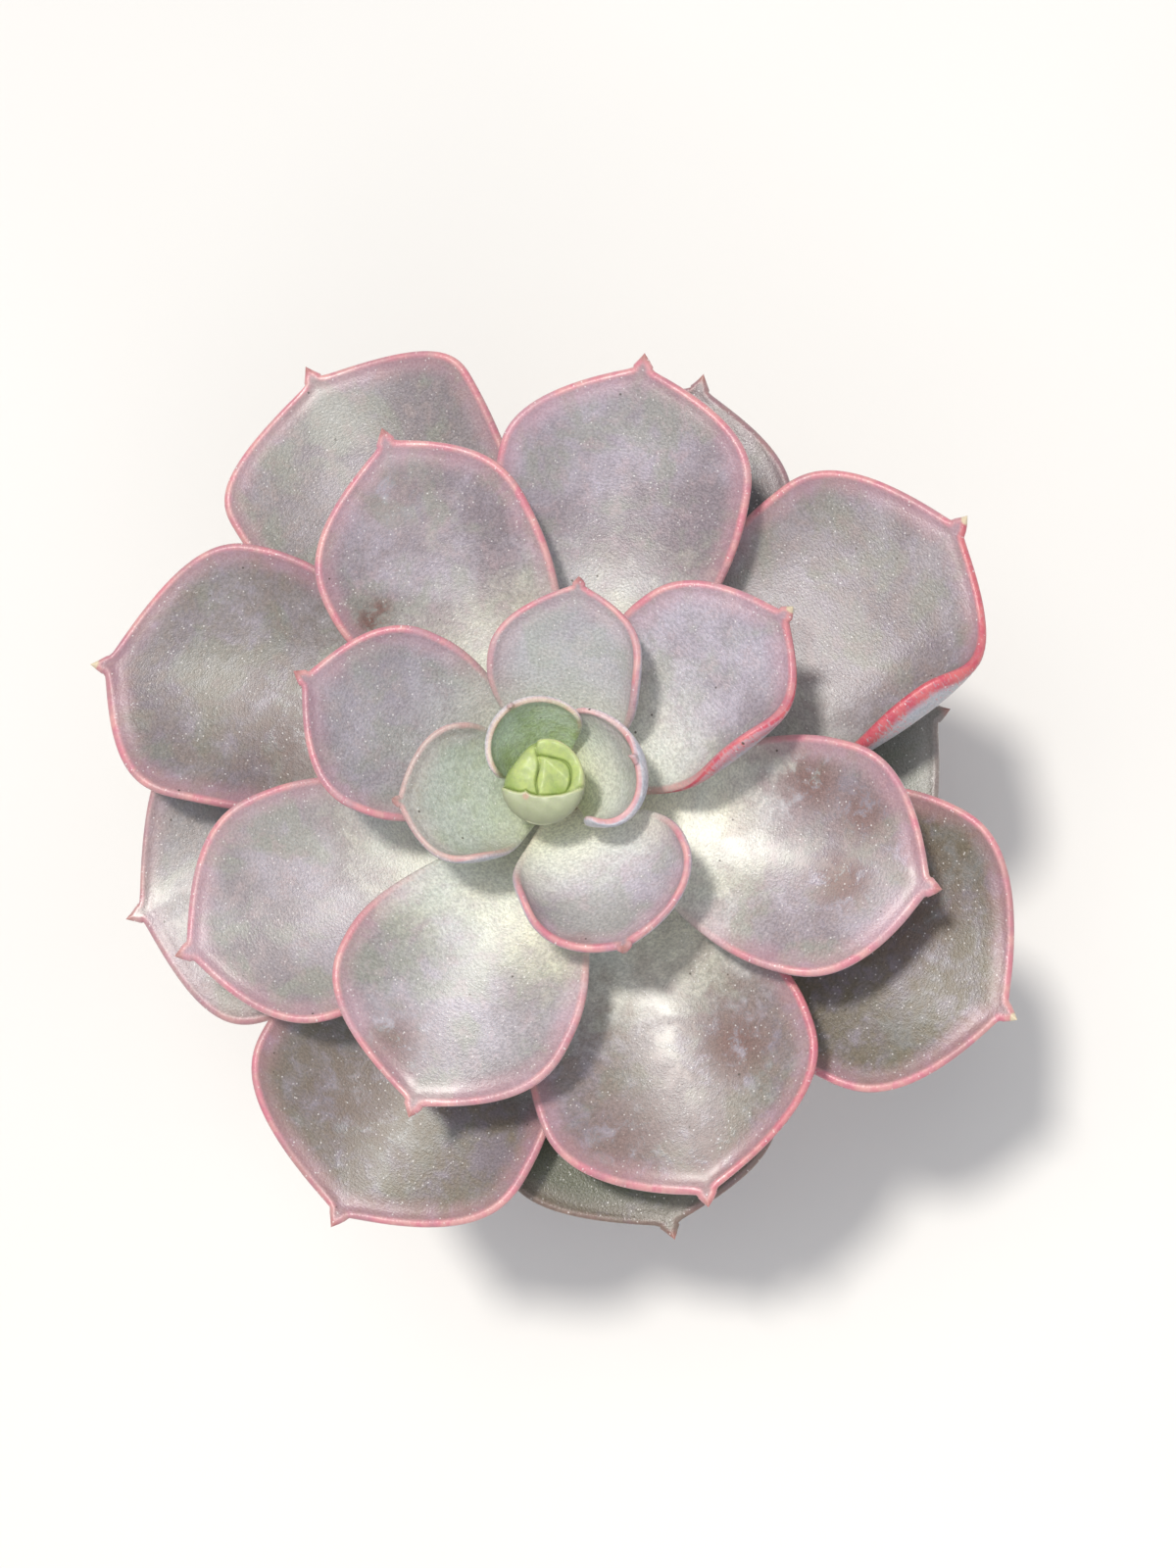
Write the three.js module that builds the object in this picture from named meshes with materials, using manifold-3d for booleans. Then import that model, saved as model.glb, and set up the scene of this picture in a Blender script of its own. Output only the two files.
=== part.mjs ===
// A potted metallica echeveria: a broad rosette of fleshy, spoon-shaped leaves with pointed tips, on a short
// stem that stands in potting soil, in a plain clay pot.
//
// Millimetres, +Z up. The origin is the centre of the pot's foot, on the surface that it stands on. Seen from
// above with +Y up the page, the rosette lies as it does in the photograph.

import * as THREE from "three";
import { mergeVertices } from "three/addons/utils/BufferGeometryUtils.js";
import Module from "manifold-3d";

const wasm = await Module();
wasm.setup();

// Driving dimensions, in millimetres.

const SEAT_GAP = 0.35; // between pieces that rest on or in each other

const POT_HEIGHT = 82;
const POT_TOP_RADIUS = 50; // outside, at the rim band
const POT_FOOT_RADIUS = 34;
const POT_WALL = 4.5;
const POT_FLOOR = 6;
const BAND_HEIGHT = 17; // of the rim band
const BAND_STEP = 2.6; // how far the band stands out from the body below it
const LIP_ROUND = 1.4; // of the rim's and the foot's edges
const DRAIN_HOLES = 3;
const DRAIN_RADIUS = 4;
const DRAIN_CIRCLE = 19; // radius of the circle that the drain holes lie on
const POT_SIDES = 60;

const SOIL_LEVEL = 72;
const SOIL_RELIEF = 1.3; // of the lumps and hollows in its top
const SOIL_RINGS = 9;

const STEM_RADIUS = 8;
const STEM_FOOT = 50; // height of the stem's lower end, in the soil
const STEM_SHOULDER = 109; // where it begins to taper
const STEM_TOP = 131;
const STEM_TOP_RADIUS = 5;
const STEM_SIDES = 24;

const EDGE_THICKNESS = 2; // of a leaf's rounded margin
const LEAF_STATIONS = 10; // along a leaf's blade
const LEAF_FACES_ACROSS = 8; // over one side of a leaf

// Each leaf from the youngest to the oldest, down the stem. Angles are in degrees and lengths in millimetres.
//   turn    direction that the leaf points in, from +X towards +Y
//   reach   from the stem's axis to the leaf's pointed tip, level
//   tip     height of its tip
//   leave   slope at which its midrib leaves the stem
//   arrive  slope of its midrib at the tip
//   wide    greatest width, over the curve
//   belly   where it is widest, as a share of its length
//   left, right   how steeply each margin turns up
//   roll    1 where the blade turns up evenly from its midrib, more where only its margins do
//   bow     how far the blade bows out to the left, two thirds of the way along
const LEAF_COLUMNS = [
  "turn", "reach", "tip", "leave", "arrive", "wide", "belly", "left", "right", "roll", "bow",
];
const LEAF_ROWS = [
  [120, 14.4, 150, 52, 92, 24, 0.6, 90, 70, 1.4, 0],
  [12, 15.4, 147, 40, 116, 32, 0.5, 65, 125, 1.3, -2],
  [188, 31.4, 146, 42, 45, 32, 0.6, 100, 60, 1.8, 1.4],
  [292, 36.6, 145, 34, 60, 40.5, 0.58, 75, 95, 1.8, 1.5],
  [82, 39.4, 146, 43, 36, 34, 0.6, 45, 90, 1.8, 0],
  [157, 56.1, 143, 25, 26, 40, 0.63, 40, 35, 1, 1.5],
  [35, 57.4, 142, 25, 30, 41, 0.6, 35, 125, 2.6, 0],
  [246, 71.9, 134, 14, 18, 51, 0.64, 30, 30, 1, -2],
  [116, 81.5, 136, 10, 26, 47.5, 0.67, 30, 30, 1, 3.4],
  [344, 78.2, 130, 8, 20, 49, 0.67, 30, 30, 1, 0],
  [203, 85.3, 128, 5, 20, 50, 0.68, 30, 30, 1, 0],
  [79, 91.2, 129, 2, 26, 54, 0.73, 30, 30, 1, 0],
  [289, 88, 121, 1, 18, 60, 0.69, 35, 30, 1, 3],
  [164, 104.3, 120, 0, 16, 57, 0.76, 30, 30, 1, -6],
  [34, 99.5, 121, -1, 24, 63, 0.72, 32, 150, 3, -3.4],
  [241, 100.3, 113, -4, 14, 64, 0.73, 30, 30, 1, -1],
  [121, 110.2, 113, -4, 16, 61, 0.83, 20, 30, 1, 1],
  [333, 101.7, 111, -6, 16, 63, 0.72, 25, 25, 1, 3],
  [194, 98.2, 106, -5, 5, 64, 0.76, 20, 20, 1, -3.5],
  [73, 97.1, 104, -7, 5, 54, 0.72, 18, 18, 1, 0],
  [283, 92.8, 102, -7, 3, 58, 0.76, 16, 16, 1, -2.5],
  [14, 82, 98, -22, 8, 58, 0.8, 14, 14, 1, 0],
];
const ROOT_TOP = 130; // height at which the youngest of them leaves the stem
const ROOT_STEP = 1.65; // from each root down to the next

// The smallest leaves close over the growing tip and grow as one bud, a little to one side of the stem's axis.
const BUD_CENTRE = [-1.75, -1.2];
const BUD_RADIUS = 8.4;
const BUD_FLAT = 1.9; // how far its upper left side lies in from that
const BUD_RIM = 147.4; // height of the scales' rims
const BUD_SIDES = 36;
const BUD_RINGS = 12; // over its top

const MATERIALS = {
  leaf: new THREE.MeshStandardMaterial({ color: 0xada6a8, roughness: 0.45 }),
  youngLeaf: new THREE.MeshStandardMaterial({ color: 0xbcc4b8, roughness: 0.5 }),
  bud: new THREE.MeshStandardMaterial({ color: 0xb6c884, roughness: 0.5 }),
  stem: new THREE.MeshStandardMaterial({ color: 0x8a7a5e, roughness: 0.8 }),
  soil: new THREE.MeshStandardMaterial({ color: 0x3b2d22, roughness: 0.95 }),
  clay: new THREE.MeshStandardMaterial({ color: 0xb5673f, roughness: 0.85 }),
};

// A closed solid out of a geometry whose faces share their corners in place only.
function solidOf(geometry) {
  const bare = geometry.clone();
  bare.deleteAttribute("normal");
  bare.deleteAttribute("uv");
  const merged = mergeVertices(bare, 1e-4);
  return new wasm.Manifold(
    new wasm.Mesh({
      numProp: 3,
      vertProperties: merged.attributes.position.array,
      triVerts: new Uint32Array(merged.index.array),
    }),
  );
}

function geometryOf(solid) {
  const mesh = solid.getMesh();
  const geometry = new THREE.BufferGeometry();
  geometry.setAttribute("position", new THREE.BufferAttribute(mesh.vertProperties, 3));
  geometry.setIndex(new THREE.BufferAttribute(mesh.triVerts, 1));
  geometry.computeVertexNormals();
  return geometry;
}

// A closed skin turned about Z from an outline of [radius, height] pairs that starts and ends on the axis.
function turned(outline, sides) {
  const points = outline.map(([radius, height]) => new THREE.Vector2(radius, height));
  return new THREE.LatheGeometry(points, sides).rotateX(Math.PI / 2);
}

// The midrib is a Bezier curve in the leaf's own upright plane, from inside the stem to the tip.
const HEEL_RADIUS = 2.5; // where the curve starts, inside the stem
const HANDLE_SHARE = 0.38; // of the chord, in the curve's two handles

function leafFrom(row, root) {
  const leaf = Object.fromEntries(LEAF_COLUMNS.map((column, i) => [column, row[i]]));
  const unit = (degrees) => {
    const angle = THREE.MathUtils.degToRad(degrees);
    return new THREE.Vector2(Math.cos(angle), Math.sin(angle));
  };
  const start = new THREE.Vector2(HEEL_RADIUS, root);
  const end = new THREE.Vector2(leaf.reach, leaf.tip);
  const handle = HANDLE_SHARE * start.distanceTo(end);
  const out = start.clone().addScaledVector(unit(leaf.leave), handle);
  const back = end.clone().addScaledVector(unit(leaf.arrive), -handle);
  leaf.midrib = new THREE.CubicBezierCurve(start, out, back, end);
  leaf.length = leaf.midrib.getLength();
  leaf.thick = Math.min(4.6, 1.2 + 0.052 * leaf.length);
  return leaf;
}

// Half the leaf's width at a share s of its length. It swells from a narrow root to its belly, closes in an arch
// that is blunter on a wide leaf, and runs out in a small point.
const ROOT_HALF_WIDTH = 5.8;
const POINT_LENGTH = 3;
const POINT_HALF_WIDTH = 2.4;
const GROWN_HALF_WIDTH = 22; // of a leaf whose point is fully grown

function grown(leaf) {
  return Math.min(1, leaf.wide / 2 / GROWN_HALF_WIDTH);
}

function pointShare(leaf) {
  return (POINT_LENGTH * grown(leaf) ** 1.5) / leaf.length;
}

function halfWidth(leaf, s) {
  const half = leaf.wide / 2;
  const root = Math.min(0.19 * half + 1.4, ROOT_HALF_WIDTH);
  const blade = s / (1 - pointShare(leaf));
  let width = 0;
  if (blade < leaf.belly) {
    width = root + (half - root) * Math.sin((Math.PI / 2) * (blade / leaf.belly)) ** 1.5;
  } else if (blade < 1) {
    width = half * (1 - ((blade - leaf.belly) / (1 - leaf.belly)) ** (1.8 + 1.2 * grown(leaf) ** 2)) ** 0.95;
  }
  const spike = POINT_HALF_WIDTH * grown(leaf) ** 1.5 * Math.min(s ** 6, (1 - s) / pointShare(leaf));
  return Math.max(0.2, (width ** 1.3 + spike ** 1.3) ** (1 / 1.3));
}

// The shares of a leaf's length at which its rings lie, closer together towards the blunt end and the point.
function stationsOf(leaf) {
  const point = pointShare(leaf);
  const stations = [];
  for (let i = 0; i <= LEAF_STATIONS; i += 1) {
    stations.push((1 - 1.25 * point) * (1 - (1 - i / LEAF_STATIONS) ** 1.5));
  }
  stations.push(1 - 0.85 * point, 1 - 0.35 * point);
  return stations;
}

// One point of a leaf's skin. across runs from -1 at the right margin to 1 at the left one.
const SECTION_STEPS = 6;
const ROOT_CHANNEL = 12; // degrees more that the section turns up at the root
const ROOT_THINNING = 0.6; // thickness at the root, as a share of what it would be

function skinPoint(leaf, s, across, upper) {
  const at = leaf.midrib.getPoint(s);
  const along = leaf.midrib.getTangent(s);
  const half = halfWidth(leaf, s);
  const bend = THREE.MathUtils.degToRad(across > 0 ? leaf.left : leaf.right);
  const channel = THREE.MathUtils.degToRad(ROOT_CHANNEL) * (1 - s) ** 3;
  // The section's slope grows with the distance from the midrib, so it is summed up in short steps.
  const step = (Math.abs(across) * half) / SECTION_STEPS;
  let level = 0;
  let rise = 0;
  let slope = 0;
  for (let i = 0; i < SECTION_STEPS; i += 1) {
    const out = step * (i + 0.5);
    slope = bend * (out / (leaf.wide / 2)) ** leaf.roll + channel * (out / half);
    level += step * Math.cos(slope);
    rise += step * Math.sin(slope);
  }
  const side = Math.sign(across);
  const inset = half * (1 - Math.abs(across));
  const thin = ROOT_THINNING + (1 - ROOT_THINNING) * Math.min(1, s / 0.15);
  const edge = thin * Math.min(EDGE_THICKNESS, leaf.thick * 0.45, 2 * half);
  const round = Math.sqrt(1 - Math.max(0, 1 - inset / (edge / 2)) ** 2);
  const plump = thin * (leaf.thick - edge) * Math.min(1, half / (0.35 * leaf.wide)) * (1 - across ** 2);
  const sink = upper ? (edge / 2) * (1 - round) : (edge / 2) * (1 + round) + plump;
  // The skin's normal leans inwards as the section rises.
  const aside = side * (level + sink * Math.sin(slope)) + leaf.bow * 6.75 * s ** 2 * (1 - s);
  const up = rise - sink * Math.cos(slope);
  return new THREE.Vector3(at.x - up * along.y, aside, at.y + up * along.x);
}

function leafGeometry(leaf) {
  const positions = [];
  const faces = [];
  const ring = 2 * LEAF_FACES_ACROSS;
  const stations = stationsOf(leaf);
  for (const s of stations) {
    for (let j = 0; j < ring; j += 1) {
      const across = -Math.cos(Math.PI * (j / LEAF_FACES_ACROSS));
      const upper = j <= LEAF_FACES_ACROSS;
      skinPoint(leaf, s, across, upper).toArray(positions, positions.length);
    }
  }
  const tip = stations.length * ring;
  const heel = tip + 1;
  skinPoint(leaf, 1, 0, true).toArray(positions, positions.length);
  const heelPoint = skinPoint(leaf, 0, 0, true).lerp(skinPoint(leaf, 0, 0, false), 0.5);
  heelPoint.toArray(positions, positions.length);
  for (let j = 0; j < ring; j += 1) {
    const next = (j + 1) % ring;
    for (let i = 0; i + 1 < stations.length; i += 1) {
      const a = i * ring + j;
      const b = i * ring + next;
      faces.push(a, a + ring, b, b, a + ring, b + ring);
    }
    const last = tip - ring;
    faces.push(last + j, tip, last + next);
    faces.push(j, next, heel);
  }
  const geometry = new THREE.BufferGeometry();
  geometry.setAttribute("position", new THREE.Float32BufferAttribute(positions, 3));
  geometry.setIndex(faces);
  return geometry;
}

// The stem's outline, from its foot in the soil to its top under the bud.
function stemOutline(gap) {
  return [
    [0, STEM_FOOT - gap],
    [STEM_RADIUS - 3 + gap, STEM_FOOT - gap],
    [STEM_RADIUS + gap, STEM_FOOT + 8],
    [STEM_RADIUS + gap, STEM_SHOULDER],
    [STEM_TOP_RADIUS + gap, STEM_TOP + gap],
    [0, STEM_TOP + gap],
  ];
}

// A leaf's root ends on the stem, which it clasps with a hair's gap.
function rootedLeaf(leaf) {
  const stem = solidOf(turned(stemOutline(SEAT_GAP), STEM_SIDES));
  return geometryOf(solidOf(leafGeometry(leaf)).subtract(stem));
}

// Height of the bud's top. An outer scale cups the lower side and leans inwards, two more close round the middle,
// and a folded nub stands between them.
function budTop(x, y) {
  const cup = Math.hypot(x + 1.2, y - 14) - 18.2 + 0.7 * Math.exp(-Math.abs(x + 4.7) / 0.7);
  const ring = Math.hypot(x + 0.9, y + 1.2) - 4.8 - 0.4 * Math.sin(0.7 * x - 0.5 * y);
  const wedge = -2.5 - x + 0.3 * Math.sin(0.9 * y);
  if (cup > 0) {
    return BUD_RIM - 0.11 * cup ** 2;
  }
  if (wedge > 0) {
    return BUD_RIM + 0.4 - 0.09 * ((x + 4) ** 2 + 0.6 * (y - 1.5) ** 2);
  }
  if (ring > 0) {
    return BUD_RIM - 1.2 + 0.75 * ring;
  }
  const folds = Math.min(Math.abs(x + 1.2 - 0.16 * y), 0.71 * Math.abs(x + y - 2));
  return BUD_RIM + 0.7 - 0.6 * Math.hypot(folds, 0.4) - 0.12 * Math.hypot(x + 0.9, y - 2.4);
}

// The bud's radius at an angle in degrees, as a share of its largest.
function budReach(angle) {
  return 1 - (BUD_FLAT / BUD_RADIUS) * Math.exp(-(((angle - 140) / 38) ** 2));
}

function budGeometry() {
  const foot = STEM_TOP + SEAT_GAP;
  const rings = [];
  for (const [radius, z] of [[3.4, foot], [4.4, foot + 2.5], [6.2, foot + 7], [BUD_RADIUS - 0.2, foot + 12]]) {
    const lean = (z - foot) / 12;
    rings.push((x, y) => [x * radius + BUD_CENTRE[0] * lean, y * radius + BUD_CENTRE[1] * lean, z]);
  }
  for (let i = 1; i < BUD_RINGS; i += 1) {
    const share = 1 - i / BUD_RINGS;
    const radius = BUD_RADIUS * share;
    const shoulder = 2.4 * (1 - Math.sqrt(1 - share ** 10));
    rings.push((x, y) => {
      const at = [x * radius + BUD_CENTRE[0], y * radius + BUD_CENTRE[1]];
      return [...at, budTop(...at) - shoulder];
    });
  }
  const positions = [0, 0, foot];
  const faces = [];
  rings.forEach((ring, i) => {
    for (let j = 0; j < BUD_SIDES; j += 1) {
      const angle = (360 * j) / BUD_SIDES;
      const turn = THREE.MathUtils.degToRad(angle);
      positions.push(...ring(budReach(angle) * Math.cos(turn), budReach(angle) * Math.sin(turn)));
      const a = 1 + i * BUD_SIDES + j;
      const b = 1 + i * BUD_SIDES + ((j + 1) % BUD_SIDES);
      if (i === 0) {
        faces.push(0, b, a);
      } else {
        faces.push(a - BUD_SIDES, b - BUD_SIDES, b, a - BUD_SIDES, b, a);
      }
    }
  });
  const top = positions.length / 3;
  positions.push(...BUD_CENTRE, budTop(...BUD_CENTRE));
  for (let j = 0; j < BUD_SIDES; j += 1) {
    faces.push(top - BUD_SIDES + j, top - BUD_SIDES + ((j + 1) % BUD_SIDES), top);
  }
  const geometry = new THREE.BufferGeometry();
  geometry.setAttribute("position", new THREE.Float32BufferAttribute(positions, 3));
  geometry.setIndex(faces);
  return geometryOf(solidOf(geometry));
}

// The pot's body tapers evenly from the foot to the rim, and its wall is as thick all the way up.
function bodyRadius(z) {
  return POT_FOOT_RADIUS + (POT_TOP_RADIUS - BAND_STEP - POT_FOOT_RADIUS) * (z / POT_HEIGHT);
}

// A rounded outer corner in an outline, turned counterclockwise in two cuts.
function roundedCorner(radius, z, from, to) {
  const corner = [];
  for (let i = 0; i <= 2; i += 1) {
    const angle = THREE.MathUtils.degToRad(from + (to - from) * (i / 2));
    corner.push([radius + LIP_ROUND * Math.cos(angle), z + LIP_ROUND * Math.sin(angle)]);
  }
  return corner;
}

function potGeometry() {
  const band = POT_HEIGHT - BAND_HEIGHT;
  const inside = (z) => bodyRadius(z) - POT_WALL;
  const outline = [
    [0, 0],
    ...roundedCorner(POT_FOOT_RADIUS - LIP_ROUND, LIP_ROUND, -90, 0),
    [bodyRadius(band - BAND_STEP), band - BAND_STEP],
    [bodyRadius(band) + BAND_STEP, band],
    ...roundedCorner(POT_TOP_RADIUS - LIP_ROUND, POT_HEIGHT - LIP_ROUND, 0, 90),
    ...roundedCorner(inside(POT_HEIGHT) + LIP_ROUND, POT_HEIGHT - LIP_ROUND, 90, 180),
    [inside(POT_FLOOR + 5), POT_FLOOR + 5],
    [inside(POT_FLOOR) - 2, POT_FLOOR + 1.5],
    [inside(POT_FLOOR) - 5.5, POT_FLOOR],
    [0, POT_FLOOR],
  ];
  let pot = solidOf(turned(outline, POT_SIDES));
  for (let i = 0; i < DRAIN_HOLES; i += 1) {
    const top = POT_FLOOR + 1;
    const drill = turned([[0, -1], [DRAIN_RADIUS, -1], [DRAIN_RADIUS, top], [0, top]], 20);
    const angle = (2 * Math.PI * i) / DRAIN_HOLES;
    drill.translate(DRAIN_CIRCLE * Math.cos(angle), DRAIN_CIRCLE * Math.sin(angle), 0);
    pot = pot.subtract(solidOf(drill));
  }
  return geometryOf(pot);
}

// The soil fills the pot to a lumpy top, with a hole for the stem.
function soilGeometry() {
  const inside = (z) => bodyRadius(z) - POT_WALL - SEAT_GAP;
  const floor = POT_FLOOR + SEAT_GAP;
  const profile = [
    [0, floor],
    [inside(POT_FLOOR) - 5.6, floor],
    [inside(POT_FLOOR) - 2.2, floor + 1.5],
    [inside(POT_FLOOR + 5), POT_FLOOR + 5],
    [inside(40), 40],
  ];
  for (let i = 0; i <= SOIL_RINGS; i += 1) {
    profile.push([inside(SOIL_LEVEL) * (1 - i / SOIL_RINGS), SOIL_LEVEL]);
  }
  const geometry = turned(profile, POT_SIDES);
  const position = geometry.attributes.position;
  for (let i = 0; i < position.count; i += 1) {
    const x = position.getX(i);
    const y = position.getY(i);
    const broad = Math.sin(0.31 * x + 0.7) * Math.cos(0.27 * y);
    const fine = 0.5 * Math.sin(0.55 * y - 0.4 * x + 1.9);
    if (position.getZ(i) > SOIL_LEVEL - 1) {
      position.setZ(i, SOIL_LEVEL + SOIL_RELIEF * (broad + fine));
    }
  }
  return geometryOf(solidOf(geometry).subtract(solidOf(turned(stemOutline(SEAT_GAP), STEM_SIDES))));
}

function named(name, geometry, material) {
  const mesh = new THREE.Mesh(geometry, material);
  mesh.name = name;
  return mesh;
}

const plant = new THREE.Group();
plant.add(named("pot", potGeometry(), MATERIALS.clay));
plant.add(named("soil", soilGeometry(), MATERIALS.soil));
plant.add(named("stem", turned(stemOutline(0), STEM_SIDES), MATERIALS.stem));
LEAF_ROWS.forEach((row, i) => {
  const leaf = leafFrom(row, ROOT_TOP - ROOT_STEP * i);
  const material = leaf.reach < 45 ? MATERIALS.youngLeaf : MATERIALS.leaf;
  const mesh = named(`leaf_${String(i + 1).padStart(2, "0")}`, rootedLeaf(leaf), material);
  mesh.rotation.z = THREE.MathUtils.degToRad(leaf.turn);
  plant.add(mesh);
});
plant.add(named("bud", budGeometry(), MATERIALS.bud));

export default plant;
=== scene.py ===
import math

import bpy
import numpy as np
from mathutils import Matrix, Vector


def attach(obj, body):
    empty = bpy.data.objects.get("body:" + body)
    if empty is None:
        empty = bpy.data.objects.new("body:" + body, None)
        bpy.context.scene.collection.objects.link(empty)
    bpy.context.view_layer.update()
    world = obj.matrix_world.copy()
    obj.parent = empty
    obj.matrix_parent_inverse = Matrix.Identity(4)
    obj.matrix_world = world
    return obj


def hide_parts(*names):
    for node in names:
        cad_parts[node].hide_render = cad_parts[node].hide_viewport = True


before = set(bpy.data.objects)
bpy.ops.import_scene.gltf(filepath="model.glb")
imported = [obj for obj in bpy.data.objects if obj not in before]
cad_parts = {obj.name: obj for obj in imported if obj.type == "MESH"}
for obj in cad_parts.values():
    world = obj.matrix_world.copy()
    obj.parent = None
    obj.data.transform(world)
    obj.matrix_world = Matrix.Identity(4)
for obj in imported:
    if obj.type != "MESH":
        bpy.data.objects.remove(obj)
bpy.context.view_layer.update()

# A potted metallica echeveria. Lengths are in millimetres until a mesh is made.

MM = 0.001

# The leaves, from the youngest to the oldest, with the values that their solids are driven by. Angles are in
# degrees. Only leaf 19's left margin turns up less than its solid's, by 3 degrees, so that its finer skin
# clears leaf 16.
#   turn    direction that the leaf points in, from +X towards +Y
#   reach   from the stem's axis to the leaf's pointed tip, level
#   tip     height of its tip
#   leave   slope at which its midrib leaves the stem
#   arrive  slope of its midrib at the tip
#   wide    greatest width, over the curve
#   belly   where it is widest, as a share of its length
#   left, right   how steeply each margin turns up
#   roll    1 where the blade turns up evenly from its midrib, more where only its margins do
#   bow     how far the blade bows out to the left, two thirds of the way along
LEAF_COLUMNS = ["turn", "reach", "tip", "leave", "arrive", "wide", "belly", "left", "right", "roll", "bow"]
LEAF_ROWS = [
    [120, 14.4, 150, 52, 92, 24, 0.6, 90, 70, 1.4, 0],
    [12, 15.4, 147, 40, 116, 32, 0.5, 65, 125, 1.3, -2],
    [188, 31.4, 146, 42, 45, 32, 0.6, 100, 60, 1.8, 1.4],
    [292, 36.6, 145, 34, 60, 40.5, 0.58, 75, 95, 1.8, 1.5],
    [82, 39.4, 146, 43, 36, 34, 0.6, 45, 90, 1.8, 0],
    [157, 56.1, 143, 25, 26, 40, 0.63, 40, 35, 1, 1.5],
    [35, 57.4, 142, 25, 30, 41, 0.6, 35, 125, 2.6, 0],
    [246, 71.9, 134, 14, 18, 51, 0.64, 30, 30, 1, -2],
    [116, 81.5, 136, 10, 26, 47.5, 0.67, 30, 30, 1, 3.4],
    [344, 78.2, 130, 8, 20, 49, 0.67, 30, 30, 1, 0],
    [203, 85.3, 128, 5, 20, 50, 0.68, 30, 30, 1, 0],
    [79, 91.2, 129, 2, 26, 54, 0.73, 30, 30, 1, 0],
    [289, 88, 121, 1, 18, 60, 0.69, 35, 30, 1, 3],
    [164, 104.3, 120, 0, 16, 57, 0.76, 30, 30, 1, -6],
    [34, 99.5, 121, -1, 24, 63, 0.72, 32, 150, 3, -3.4],
    [241, 100.3, 113, -4, 14, 64, 0.73, 30, 30, 1, -1],
    [121, 110.2, 113, -4, 16, 61, 0.83, 20, 30, 1, 1],
    [333, 101.7, 111, -6, 16, 63, 0.72, 25, 25, 1, 3],
    [194, 98.2, 106, -5, 5, 64, 0.76, 17, 20, 1, -3.5],
    [73, 97.1, 104, -7, 5, 54, 0.72, 18, 18, 1, 0],
    [283, 92.8, 102, -7, 3, 58, 0.76, 16, 16, 1, -2.5],
    [14, 82, 98, -22, 8, 58, 0.8, 14, 14, 1, 0],
]
ROOT_TOP = 130  # height at which the youngest leaf leaves the stem
ROOT_STEP = 1.65  # from each root down to the next
HEEL_RADIUS = 2.5  # where a midrib starts, inside the stem
HANDLE_SHARE = 0.38  # of a midrib's chord, in its two handles
ROOT_HALF_WIDTH = 5.8
ROOT_CHANNEL = 12  # degrees more that the section turns up at the root
ROOT_THINNING = 0.6  # thickness at the root, as a share of what it would be
EDGE_THICKNESS = 2  # of the rounded margin
POINT_LENGTH = 3
POINT_HALF_WIDTH = 2.4
GROWN_WIDTH = 44  # of a leaf whose point is fully grown
YOUNG_REACH = 45  # a leaf that reaches less far has the young finish

# The finer skin of a leaf.
LEAF_STATIONS = 96
LEAF_FACES_ACROSS = 40
CURVE_STEPS = 401  # in which the midrib's length is measured
SECTION_STEPS = 24  # in which a section's slope is summed up
OUTLINE_STEPS = 160
GROOVE_DEPTH = 0.16
GROOVE_INSET = 2.3  # from the margin to the groove's middle
GROOVE_WIDTH = 0.9
MARGIN_WAVE = 0.45
BLADE_WAVE = 0.16
SKIN_WIDTH = 160  # that one unit of the UV map stands for across
SKIN_LENGTH = 130  # and along

# The bud, a little to one side of the stem's axis.
BUD_CENTRE = (-1.75, -1.2)
BUD_RADIUS = 8.4
BUD_FLAT = 1.9  # how far its upper left side lies in from that
BUD_RIM = 147.4  # height of the scales' rims
BUD_WALL = 12  # height of its side
BUD_SIDES = 160
SEAM_WIDTH = 0.24
SEAM_DEPTH = 0.6

# How green, how warm and olive and how dark each leaf is, and how red the back of its right margin is, or of
# its left one where below 0.
LEAF_TINTS = [
    (0.95, 0, 0, 0), (0.2, 0, 0, 0), (0.5, 0, 0.4, 0), (0, 0, 0.1, 0.1), (0.1, 0, 0.35, 0.1),
    (0, 0.15, 0.65, 0), (0, 0, 0.2, 0.6), (0.1, 0.05, 0.1, 0), (0, 0.15, 0.2, 0), (0, 0.25, 0, 0),
    (0.05, 0.2, 0, 0), (0, 0.1, 0.2, 0.1), (0, 0.5, 0.25, -0.5), (0, 0.5, 0.6, 0), (0, 0.35, 0.4, 1),
    (0, 0.7, 0.7, 0), (0.05, 0.3, 0.15, 0.1), (0, 0.8, 0.85, 0.1), (0.1, 0.35, 0.35, 0), (0.1, 0.3, 1.3, 0),
    (0.3, 2, 1.6, 0), (0.3, 0.4, 1.05, 0),
]
# Brown blotches by leaf number: strength, share of the length, side from -1 to 1 at the left margin, radius.
BLOTCHES = {
    4: [(0.5, 0.82, -0.45, 3)],
    8: [(0.75, 0.82, -0.3, 7)],
    9: [(1, 0.58, 0.72, 3.4), (1, 0.6, 0.58, 2.2), (0.4, 0.85, 0.1, 9)],
    10: [(0.9, 0.6, 0.62, 7), (0.85, 0.75, 0.45, 6), (0.9, 0.74, -0.12, 6), (0.4, 0.88, 0.2, 7)],
    13: [(0.9, 0.66, 0.45, 8), (0.6, 0.8, -0.5, 11), (0.5, 0.9, 0.1, 9)],
    14: [(0.4, 0.55, 0.3, 12)],
    16: [(0.4, 0.75, -0.2, 12)],
    18: [(0.5, 0.7, 0.3, 14)],
}
FADED = {19: 0.6, 20: 0.35, 21: 0.25, 22: 0.15}  # how much of the pink is left at an old leaf's margin
SCARRED = (7, 14, 15, 18)  # the leaves whose point has a dry end
FIRST_SEED = 47  # of the youngest leaf's waves and mottling
SEED_STEP = 7
PATTERN_PLACES = 97  # from which the leaves read their patterns

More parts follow.
